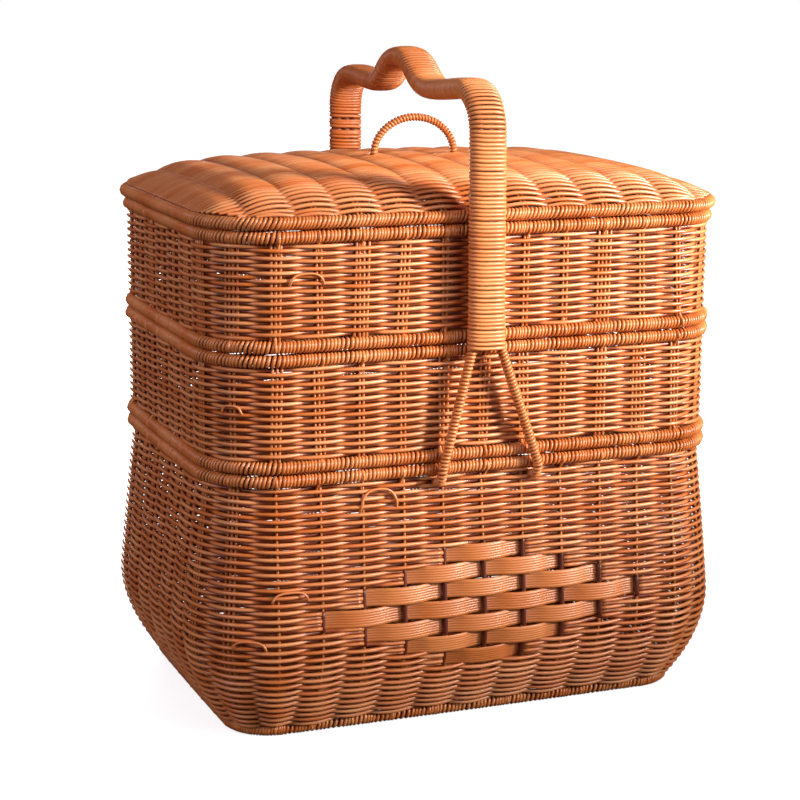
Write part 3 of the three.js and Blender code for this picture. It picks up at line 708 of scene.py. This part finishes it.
def strap_part(row):
    """A strap's outline is swept along its way: a ribbed outer face, rounded edges and a flat back."""
    reach = strap_reach[row]
    number = np.linspace(-reach, reach, 2 * reach * STRAP_STEPS + 1)
    tuck = STRAP_TUCK / STAKE_PITCH
    number = np.concatenate([[-reach - tuck], number, [reach + tuck]])
    up = np.linspace(-0.5, 0.5, STRAP_RIBS * 4 + 1)
    rib = np.abs(np.cos(up * STRAP_RIBS * math.pi)) ** 0.7
    edge = np.clip((0.5 - np.abs(up)) / STRAP_EDGE, 0, 1) ** 0.5
    front = STRAP_THICKNESS / 2 * edge + RIB_RELIEF * (1 - rib) * edge
    outline_z = np.concatenate([up, [0.48, 0.0, -0.48]]) * STRAP_WIDTH
    outline_out = np.concatenate([front, np.full(3, -STRAP_THICKNESS / 2)])
    wave = -np.cos(math.pi * (number + reach))
    wave = np.sign(wave) * np.abs(wave) ** 0.8
    z = strap_height[row] + outline_z[None] + 0 * number[:, None]
    out = belly(z) + STRAP_SWING * wave[:, None] - STRAP_SINK + outline_out[None]
    points = around(number[:, None] / STAKES, out, z)
    places, sides = z.shape
    index = np.arange(places * sides).reshape(places, sides)
    beside = np.roll(index, -1, axis=1)
    quads = np.stack([index[:-1], index[1:], beside[1:], beside[:-1]], axis=-1)
    run, side = np.indices((places - 1, sides))[..., None]
    u, v = (run + np.array([0, 1, 1, 0])) / (places - 1), (side + np.array([0, 0, 1, 1])) / sides
    length = 2 * reach * STAKE_PITCH
    # Painted shade: the strap is painted darker in the grooves between its ribs and on its back, and darker
    # again where it passes behind an upright.
    groove = np.concatenate([0.78 + 0.22 * (1 - rib), [0.3, 0.3, 0.3]])
    behind = 0.75 + 0.25 * np.clip(wave + 0.8, 0, 1)
    return {
        "points": points.reshape(-1, 3),
        "quads": quads.reshape(-1, 4),
        "caps": np.stack([index[0], index[-1][::-1]]),
        "cell": np.zeros(u.size, int),
        "cells": 1,
        "bake": np.stack([u, v], axis=-1).reshape(-1, 2),
        "strand": np.stack([u * length / 10 + row * STREAK_SHIFT, v * 3], axis=-1).reshape(-1, 2),
        "ratio": length / STRAP_GIRTH,
        "area": length * STRAP_GIRTH,
        "tone": np.full(places * sides, 0.45 + 0.4 * (row % 3) / 2),
        "depth": (groove[None] * behind[:, None]).reshape(-1),
    }


for row in range(STRAP_ROWS):
    piece(
        f"diamond_strap_{row + 1}_ribbed", [strap_part(row)],
        flat_strap, "base_and_handle", "flat_strap", f"diamond_strap_{row + 1}",
    )

# Uprights behind the straps
# In the diamond each upright is one thicker, darker cane. It shows as a short dark bar wherever a strap
# passes behind it.
DARK_STAKE_RADIUS = 1.75
DARK_STAKE_TUCK = 1.5
dark_stake = cane_material(
    "dark_stake_cane", light=(120, 50, 22), middle=(84, 28, 10), deep=(50, 14, 4),
    streaks=0.2, mottle=0.2, gloss=0.46, relief=0.4,
)
outer_stake = middle_row + 1
for number in range(-outer_stake, outer_stake + 1):
    rows = 2 * (outer_stake - max(1, abs(number))) + 1
    reach = STRAP_PITCH * rows / 2 + DARK_STAKE_TUCK
    z = np.linspace(DIAMOND_HEIGHT - reach, DIAMOND_HEIGHT + reach, 3 * rows + 2)[None]
    share = number / STAKES + 0 * z
    paths = around(share, belly(z), z)
    # The dark uprights are painted a little towards their deep shade colour.
    cane = strands(paths, outward(share), DARK_STAKE_RADIUS, sides=10, tone=0.5, depth=0.9)
    node = f"diamond_stake_{number + outer_stake + 1}"
    piece(f"{node}_cane", [cane], dark_stake, "base_and_handle", "stake_cane", node)

# Carrying handle
# Two rods are bound side by side into one flat strap, which arches over the stack with a hump for the
# hand. Below the binding they part into a V at the front and the back and hook under the base's rim.
LEG_Y = 158.87
CREST = 505.02
SHOULDER_RADIUS = 31.0
FRONT_DROPS = (17.5, 22.0)
BACK_DROPS = (21.0, 23.5)
STRAP_LEAN = 7.0
FOOT_LEAN = 5.2
LEAN_EASE = 20.0
DIP_PLACE = 64.0
DIP_EASE = 18.0
STRAP_HALF_WIDTH = 13.4
STRAP_HALF_DEPTH = 6.8
STRAP_FULLNESS = 2 / 2.7
BINDING_FOOT = 298.0
BINDING_PITCH = 3.0
BINDING_STRAND = 1.08
BINDING_FLATNESS = 1.4
BINDING_STEPS = 22
BINDING_SLACK = 0.16
FLARE = 0.05
FLARE_LENGTH = 30.0
CORE_RADIUS = 5.0
CORE_PLACES = (-7.5, 0.0, 7.5)
RIGHT = np.array([1.0, 0, 0])
# Two turns high on the back leg, counted from the last one at its foot, are pushed along and leave slits.
SLIT_TURNS = (46, 49)
SLIT_WIDTH = 1.5
# Painted light and shade: the binding's cane is painted lighter at the front, where the key light falls,
# and darker over the hump and down the back, which lie in shade: part of the way, and its tone.
BINDING_PAINTED_LIGHT = ((0.0, 0.95), (0.35, 0.8), (0.5, 0.3), (0.7, 0.0), (1.0, 0.0))
bound_cane = cane_material(
    "bound_cane", light=(241, 160, 97), middle=(198, 102, 39), deep=(116, 44, 10),
    streaks=0.18, mottle=0.14, gloss=0.4, relief=0.3,
)


def curve(a, b, c, d, steps):
    """A smooth run from a to d, drawn towards b and c."""
    t = np.linspace(0, 1, steps)[:, None]
    return (1 - t) ** 3 * a + 3 * t * (1 - t) ** 2 * b + 3 * t * t * (1 - t) * c + t ** 3 * d


def half_arch(shoulder_drop, dip_drop):
    """One half of the bound strap in a side view, from its foot at the front up to the crest."""
    shoulder, dip = CREST - shoulder_drop, CREST - dip_drop
    bend_y, bend_z = -LEG_Y + SHOULDER_RADIUS, shoulder - SHOULDER_RADIUS
    leg = np.linspace([-LEG_Y, BINDING_FOOT], [-LEG_Y, bend_z], 40)
    angle = np.linspace(math.pi, math.pi / 2, 24)
    arc = SHOULDER_RADIUS * np.stack([np.cos(angle), np.sin(angle)], axis=-1)
    bend = np.array([bend_y, bend_z]) + arc
    points = np.array([
        (bend_y, shoulder), (bend_y + DIP_EASE, shoulder), (-DIP_PLACE - DIP_EASE, dip),
        (-DIP_PLACE, dip), (-DIP_PLACE / 2, dip), (-DIP_PLACE / 2, CREST), (0.0, CREST),
    ])
    fall, hump = curve(*points[:4], 30), curve(*points[3:], 30)
    return np.concatenate([leg[:-1], bend[:-1], fall[:-1], hump])


def lean_at(y, z):
    """The strap stands a little to the left at the front and over the top, and straight down the back."""
    t = np.clip((y - LEAN_EASE) / (LEG_Y - SHOULDER_RADIUS - LEAN_EASE), 0, 1)
    of_front = 1 - t * t * (3 - 2 * t)
    return of_front * (FOOT_LEAN + (STRAP_LEAN - FOOT_LEAN) * (z - BINDING_FOOT) / (CREST - BINDING_FOOT))


def way_of(line):
    """How far each place of a line is from its start, along the line."""
    return np.concatenate([[0], np.cumsum(np.linalg.norm(np.diff(line, axis=0), axis=1))])


def places_on(line, way, at):
    """Places on a line at distances from its start."""
    return np.stack([np.interp(at, way, line[:, k]) for k in range(3)], axis=-1)


front_half, back_half = half_arch(*FRONT_DROPS), half_arch(*BACK_DROPS)
side_view = np.concatenate([front_half, back_half[:-1][::-1] * np.array([-1, 1])])
arch = np.stack([-lean_at(side_view[:, 0], side_view[:, 1]), side_view[:, 0], side_view[:, 1]], axis=-1)
arch_way = way_of(arch)


def arch_at(at):
    """Places along the arch, with two directions across it: to the right, and out of the arch."""
    run = unit(places_on(arch, arch_way, at + 2) - places_on(arch, arch_way, at - 2))
    across = unit(RIGHT - run * run[..., :1])
    return places_on(arch, arch_way, at), across, np.cross(across, run)


def binding_parts():
    """Cane wound over both rods from the front's foot to the back's, with a core inside painted in the deep
    shade colour.
    """
    turns = int(arch_way[-1] / BINDING_PITCH)
    t = np.arange(turns * BINDING_STEPS + 1) / BINDING_STEPS
    angle = 2 * math.pi * t
    slack = chance.normal(0, BINDING_SLACK, turns + 1)
    slack[[turns - back for back in SLIT_TURNS]] = SLIT_WIDTH
    loose = np.repeat(slack, BINDING_STEPS)[: len(t)]
    way = np.clip(t / turns * arch_way[-1] + np.convolve(loose, np.ones(9) / 9, "same"), 0, arch_way[-1])
    place, across, away = arch_at(way)
    flare = 1 + FLARE * np.clip(1 - np.minimum(way, arch_way[-1] - way) / FLARE_LENGTH, 0, 1)
    c, s = np.cos(angle)[:, None], np.sin(angle)[:, None]
    x = STRAP_HALF_WIDTH * flare[:, None] * np.sign(c) * np.abs(c) ** STRAP_FULLNESS
    n = STRAP_HALF_DEPTH * np.sign(s) * np.abs(s) ** STRAP_FULLNESS
    paths = (place + x * across + n * away)[None]
    face = (across * c / STRAP_HALF_WIDTH + away * s / STRAP_HALF_DEPTH)[None]
    # Painted light and shade along the binding, with turns that differ at random in tone.
    tone = np.interp(t / turns, *zip(*BINDING_PAINTED_LIGHT))
    tone = tone + np.repeat(chance.normal(0, 0.16, turns + 1), BINDING_STEPS)[: len(t)]
    wound = strands(
        paths, face, BINDING_STRAND, sides=WRAP_SIDES, cell=BINDING_STEPS, tone=tone[None],
        depth=turn_depth(0.72, 0.5), flat=BINDING_FLATNESS,
    )
    place, across, away = arch_at(np.linspace(1.0, arch_way[-1] - 1.0, 150))
    cores = [
        strands((place + x * across)[None], away[None], CORE_RADIUS, sides=8, tone=0.2, depth=0.15)
        for x in CORE_PLACES
    ]
    return [wound] + cores


binding = binding_parts()
piece("handle_binding_wound", binding, bound_cane, "base_and_handle", "wrapped_cane", "handle_binding")

# Rods of the carrying handle
# Each rod comes out of the binding at both ends and is wound with fine cane of its own. Its tips are bent
# into hooks that hold the base's rim from below.
ROD_RADIUS = 4.0
ROD_SPACING = 19.0
ROD_STRAND = 1.4
ROD_FULLNESS = 0.05
ROD_PITCH = 2.85
ROD_CORE = 2.0
ROD_ENTRY = 6.0
HOOK_X = 39.5
FRONT_HOOK_SHIFT = 2.0
HOOK_RADIUS = 10.0
HOOK_STEPS = 15


def wound_line(line, reach, pitch, side, core, tone):
    """Fine cane wound along any open line of places, with its rod inside."""
    way = way_of(line)
    turns = int(way[-1] / pitch)
    t = np.arange(turns * WRAP_STEPS + 1) / WRAP_STEPS
    at = t / turns * way[-1]
    run = unit(places_on(line, way, at + 1) - places_on(line, way, at - 1))
    first = unit(side - run * along(side, run))
    second = np.cross(run, first)
    angle = 2 * math.pi * t[:, None]
    facing = first * np.cos(angle) + second * np.sin(angle)
    shade = np.clip(tone + 0.15 * np.sin(at / 17) + chance.normal(0, 0.1, at.shape), 0, 1)[None]
    wound = strands(
        (places_on(line, way, at) + reach * facing)[None], facing[None], ROD_STRAND, sides=WRAP_SIDES,
        cell=WRAP_STEPS, tone=shade, depth=turn_depth(),
    )
    # Painted shade: the rod inside is painted in the deep colour, as it lies in shade within its turns.
    rod = strands(line[None], side, core, sides=8, tone=0.2, depth=0.15)
    return [wound, rod]


def rod_foot(side, end):
    """From the tip inside the base's rim, under it, and up the V into the binding."""
    angle = np.linspace(0, math.pi, HOOK_STEPS)
    hook = np.stack([
        np.full(HOOK_STEPS, side * HOOK_X + (FRONT_HOOK_SHIFT if end < 0 else 0.0)),
        end * (HALF_WIDTH - HOOK_RADIUS * np.cos(angle)),
        BASE_RIM_HEIGHT - HOOK_RADIUS * np.sin(angle),
    ], axis=-1)
    lean = FOOT_LEAN if end < 0 else 0.0
    top = np.array([side * ROD_SPACING / 2 - lean, end * LEG_Y, BINDING_FOOT + ROD_ENTRY])
    return np.concatenate([hook, np.linspace(hook[-1], top, 24)[1:]])


for name, side in (("handle_rod_left", -1), ("handle_rod_right", 1)):
    parts = []
    for end in (-1, 1):
        reach = ROD_RADIUS + ROD_FULLNESS - ROD_STRAND
        parts += wound_line(rod_foot(side, end), reach, ROD_PITCH, RIGHT, ROD_CORE, tone=0.55)
    piece(f"{name}_wound", parts, wrapped_cane, "base_and_handle", "wrapped_cane", name)

# Trays
# Two open trays, each a low upright wall of round cane between two wrapped rims, with a woven floor.
# The lower tray stands on the base's rim, and the upper tray stands on the lower one.
TRAY_INSET = 1.2
TRAY_HEIGHT = 89.7
TRAY_WALL = (10.3, 79.4)
TRAY_ROW_PITCH = 2.76
TRAY_WEAVER = 1.58
TRAY_STAKE_TUCK = 3
TRAY_FLOOR_HEIGHT = 7.2
TRAY_FLOOR_INSET = 6.8
TRAY_BOTTOMS = {"lower": 210.3, "upper": 300.3}
TRAY_SPLICES = {"lower": (-5.97, 262, 0.45, 7), "upper": (-4.32, 359, 0.78, 10)}


def tray_middle(z):
    """A tray's wall stands upright, just inside the plan's line."""
    return -TRAY_INSET + 0 * z


def upright(z):
    """The slope of an upright wall."""
    return 0 * z


for level, bottom in TRAY_BOTTOMS.items():
    body = f"tray_{level}"
    wall_low, wall_high = bottom + TRAY_WALL[0], bottom + TRAY_WALL[1]
    tray_heights = row_heights(wall_low, wall_high, TRAY_ROW_PITCH, upright)
    rows = wall_rows(tray_heights, np.arange(len(tray_heights)), tray_middle, upright, weaver=TRAY_WEAVER)
    curl = splice(*TRAY_SPLICES[level], tray_middle)
    piece(f"{body}_weave", [rows, curl], woven_cane, body, "woven_cane", f"{body}_wall")
    counts = chance.integers(2, 5, STAKES)
    canes = uprights(wall_low - TRAY_STAKE_TUCK, wall_high + TRAY_STAKE_TUCK, tray_middle, counts, 12)
    piece(f"{body}_uprights", [canes], stake_cane, body, "stake_cane", f"{body}_wall")
    low_z, high_z = bottom + RIM_RADIUS, bottom + TRAY_HEIGHT - RIM_RADIUS
    low = rim_turns(low_z) + [rim_loops(low_z, -1, -TRAY_INSET, wall_low, keep=0.6)]
    high = rim_turns(high_z) + [rim_loops(high_z, 1, -TRAY_INSET, wall_high)]
    piece(f"{body}_bottom_rim_wrap", low, wrapped_cane, body, "wrapped_cane", f"{body}_bottom_rim")
    piece(f"{body}_top_rim_wrap", high, wrapped_cane, body, "wrapped_cane", f"{body}_top_rim")
    floor = floor_parts(bottom + TRAY_FLOOR_HEIGHT, TRAY_FLOOR_INSET)
    piece(f"{body}_floor_weave", floor, woven_cane, body, "woven_cane", f"{body}_floor")

# Lid
# A shallow dome woven from end to end over pairs of canes that cross it from front to back, which show
# as broad ridges. Its edge meets a wrapped rim that rests on the upper tray.
LID_BOTTOM = 390.3
LID_LENGTH = 210.5
LID_WIDTH = 142.5
LID_CORNER = 52.5
LID_SHOULDER = 22.0
LID_CROWN = 9.0
LID_CANE_MIDDLE = 2.5
LID_LIP = 5.8
LID_SWING = 2.5
LID_RIM_LENGTH = 213.0
LID_WRAP_SLANT = 1.4


def lid_middle(x, y):
    """Height of the lid's dome, which turns down steeply near its edge and meets the rim in a small lip."""
    u, v = np.clip(np.abs(x) / LID_LENGTH, 0, 1), np.clip(np.abs(y) / LID_WIDTH, 0, 1)
    dome = LID_SHOULDER * np.clip(1 - u ** 8 - v ** 8, 0, 1) + LID_CROWN * (1 - u * u) * (1 - v * v)
    return LID_BOTTOM + LID_CANE_MIDDLE + np.hypot(dome, LID_LIP)


lid_outline = LID_LENGTH, LID_WIDTH, LID_CORNER
lid_rows = woven_sheet(*lid_outline, lid_middle, ROW_PITCH, WEAVER, LID_SWING, ROW_STEPS, ROW_SIDES)
lid_canes = crossing_canes(*lid_outline, lid_middle, STAKE_RADIUS)
lid_wrap = rim_turns(LID_BOTTOM + RIM_RADIUS, 0.0, LID_RIM_LENGTH, LID_WRAP_SLANT)
piece("lid_weave", [lid_rows], woven_cane, "lid", "woven_cane", "lid_panel")
piece("lid_crossing_canes", [lid_canes], stake_cane, "lid", "stake_cane", "lid_panel")
piece("lid_rim_wrap", lid_wrap, wrapped_cane, "lid", "wrapped_cane", "lid_rim")

# Small handle of the lid
# A thin rod bent into an arch and wound with fine cane. It stands across the middle of the lid, and its
# feet go down into the weave.
GRIP_SPAN = 69.0
GRIP_RISE = 29.0
GRIP_ABOVE_WEAVE = 3.8
GRIP_FOOT = 4.8
GRIP_REACH = 2.0
GRIP_PITCH = 2.7
GRIP_CORE = 1.9
BACKWARD = np.array([0, 1.0, 0])
grip_base = float(lid_middle(GRIP_SPAN / 2, 0.0)) + GRIP_ABOVE_WEAVE
angle = np.linspace(math.pi, 0, 60)
grip = np.stack([GRIP_SPAN / 2 * np.cos(angle), 0 * angle, grip_base + GRIP_RISE * np.sin(angle)], axis=-1)
feet = [np.array([[side * GRIP_SPAN / 2, 0.0, grip_base - GRIP_FOOT]]) for side in (-1, 1)]
grip = np.concatenate([feet[0], grip, feet[1]])
grip_parts = wound_line(grip, GRIP_REACH, GRIP_PITCH, BACKWARD, GRIP_CORE, tone=0.35)
piece("lid_handle_wound", grip_parts, wrapped_cane, "lid", "wrapped_cane", "lid_handle")

# Camera
# It stands where the photograph was taken from, in front of the basket and to its left, and looks slightly
# down. Its place is in metres, and its place and directions are in the basket's own frame.
SENSOR_WIDTH = 36.0
FOCAL_PIXELS = 2088.8
FRAME_PIXELS = 800
CAMERA_PLACE = (-0.63294, -1.55278, 0.58678)
CAMERA_RIGHT = (0.92875, -0.37063, 0.00768)
CAMERA_UP = (0.07104, 0.19827, 0.97758)
CAMERA_AHEAD = (0.36384, 0.90737, -0.21047)


def placed(made, right, up, back, place):
    """Set a camera or lamp, which looks away from its back, and put it into the scene."""
    rows = [[right[k], up[k], back[k], place[k]] for k in range(3)]
    made.matrix_world = Matrix(rows + [[0.0, 0.0, 0.0, 1.0]])
    bpy.context.scene.collection.objects.link(made)


camera = bpy.data.objects.new("camera", bpy.data.cameras.new("camera"))
camera.data.sensor_width = SENSOR_WIDTH
camera.data.lens = SENSOR_WIDTH * FOCAL_PIXELS / FRAME_PIXELS
camera.data.clip_start = 0.05
placed(camera, CAMERA_RIGHT, CAMERA_UP, [-step for step in CAMERA_AHEAD], CAMERA_PLACE)
bpy.context.scene.camera = camera

# Room
# A plain pale floor under a white backdrop. The floor keeps the basket's shadow, and what the camera sees
# of floor and backdrop is brighter than the light that they throw on the basket.
FLOOR_HALF = 6
FLOOR_COLOUR = 0.8
FLOOR_ROUGHNESS = 0.9
FLOOR_GLOW = 0.75
FLOOR_BOUNCE = 0.08
GLOW_FROM = 0.45
GLOW_FULL = 1.5
ROOM_COLOUR = (1.0, 0.9, 0.95, 1)
ROOM_LIGHT = 0.17
WHITE = (1, 1, 1, 1)


def choose(tree, thrown, seen, output):
    """One shader where the camera looks straight at it, and another for the light that it throws."""
    choice = tree.nodes.new("ShaderNodeMixShader")
    tree.links.new(tree.nodes.new("ShaderNodeLightPath").outputs["Is Camera Ray"], choice.inputs[0])
    tree.links.new(thrown.outputs[0], choice.inputs[1])
    tree.links.new(seen.outputs[0], choice.inputs[2])
    tree.links.new(choice.outputs[0], tree.nodes[output].inputs["Surface"])


bpy.context.scene.view_settings.view_transform = "Standard"
world = bpy.data.worlds.new("studio")
world.use_nodes = True
bpy.context.scene.world = world
tree = world.node_tree
background = tree.nodes["Background"]
background.inputs["Color"].default_value = ROOM_COLOUR
background.inputs["Strength"].default_value = ROOM_LIGHT
white = add_node(tree, "ShaderNodeBackground", Color=WHITE, Strength=1.0)
choose(tree, background, white, "World Output")

floor_mesh = bpy.data.meshes.new("studio_floor")
floor_corners = [(x * FLOOR_HALF, y * FLOOR_HALF, 0) for x, y in ((-1, -1), (1, -1), (1, 1), (-1, 1))]
floor_mesh.from_pydata(floor_corners, [], [(0, 1, 2, 3)])
studio_floor = bpy.data.objects.new("studio_floor", floor_mesh)
bpy.context.scene.collection.objects.link(studio_floor)
floor_paint = bpy.data.materials.new("floor_paint")
floor_paint.use_nodes = True
tree = floor_paint.node_tree
floor_shader = tree.nodes["Principled BSDF"]
floor_shader.inputs["Base Color"].default_value = (FLOOR_COLOUR, FLOOR_COLOUR, FLOOR_COLOUR, 1)
floor_shader.inputs["Roughness"].default_value = FLOOR_ROUGHNESS
from_middle = add_node(tree, "ShaderNodeVectorMath", operation="LENGTH")
tree.links.new(tree.nodes.new("ShaderNodeTexCoord").outputs["Object"], from_middle.inputs[0])
brighter = add_node(tree, "ShaderNodeMapRange")
tree.links.new(from_middle.outputs["Value"], brighter.inputs["Value"])
glow_range = (("From Min", GLOW_FROM), ("From Max", GLOW_FULL), ("To Min", FLOOR_GLOW), ("To Max", 1.0))
for key, value in glow_range:
    brighter.inputs[key].default_value = value
glow = add_node(tree, "ShaderNodeEmission", Color=WHITE, Strength=brighter.outputs["Result"])
lit = add_node(tree, "ShaderNodeAddShader")
tree.links.new(floor_shader.outputs[0], lit.inputs[0])
tree.links.new(glow.outputs[0], lit.inputs[1])
dim = add_node(tree, "ShaderNodeBsdfDiffuse", Color=(FLOOR_BOUNCE, FLOOR_BOUNCE, FLOOR_BOUNCE, 1))
choose(tree, dim, lit, "Material Output")
floor_mesh.materials.append(floor_paint)

# Lamps
# The key light comes from the front right. A soft one fills the front, one at the left lifts the shaded
# end, and one behind lights the back of the basket.
KEY_CONE = 23.5


def lamp(name, kind, place, target, size, watts, colour):
    """A lamp at a place that shines at a target; the key is a spot, and the others are soft discs."""
    data = bpy.data.lights.new(name, kind)
    data.energy = watts
    data.color = colour
    if kind == "AREA":
        data.shape = "DISK"
        data.size = size
    else:
        data.shadow_soft_size = size / 2
        data.spot_size = math.radians(KEY_CONE)
        data.spot_blend = 1.0
    made = bpy.data.objects.new(name, data)
    back = unit(np.array(place) - np.array(target))
    side = unit(np.cross(UP, back))
    placed(made, side, np.cross(back, side), back, place)


lamp("key", "SPOT", (1.3, -1.16, 0.84), (-0.02, -0.05, 0.335), 0.4, 375, (1.0, 0.97, 0.94))
lamp("front", "AREA", (0.6, -1.35, 0.75), (0, 0, 0.33), 0.8, 6.5, (1.0, 0.98, 1.0))
lamp("left", "AREA", (-2.1, -0.75, 1.3), (-0.05, 0, 0.36), 1.2, 20, (0.94, 0.86, 0.96))
lamp("back", "AREA", (0.5, 2.1, 0.6), (0.15, 0, 0.27), 1.4, 48, (1.0, 0.95, 0.95))
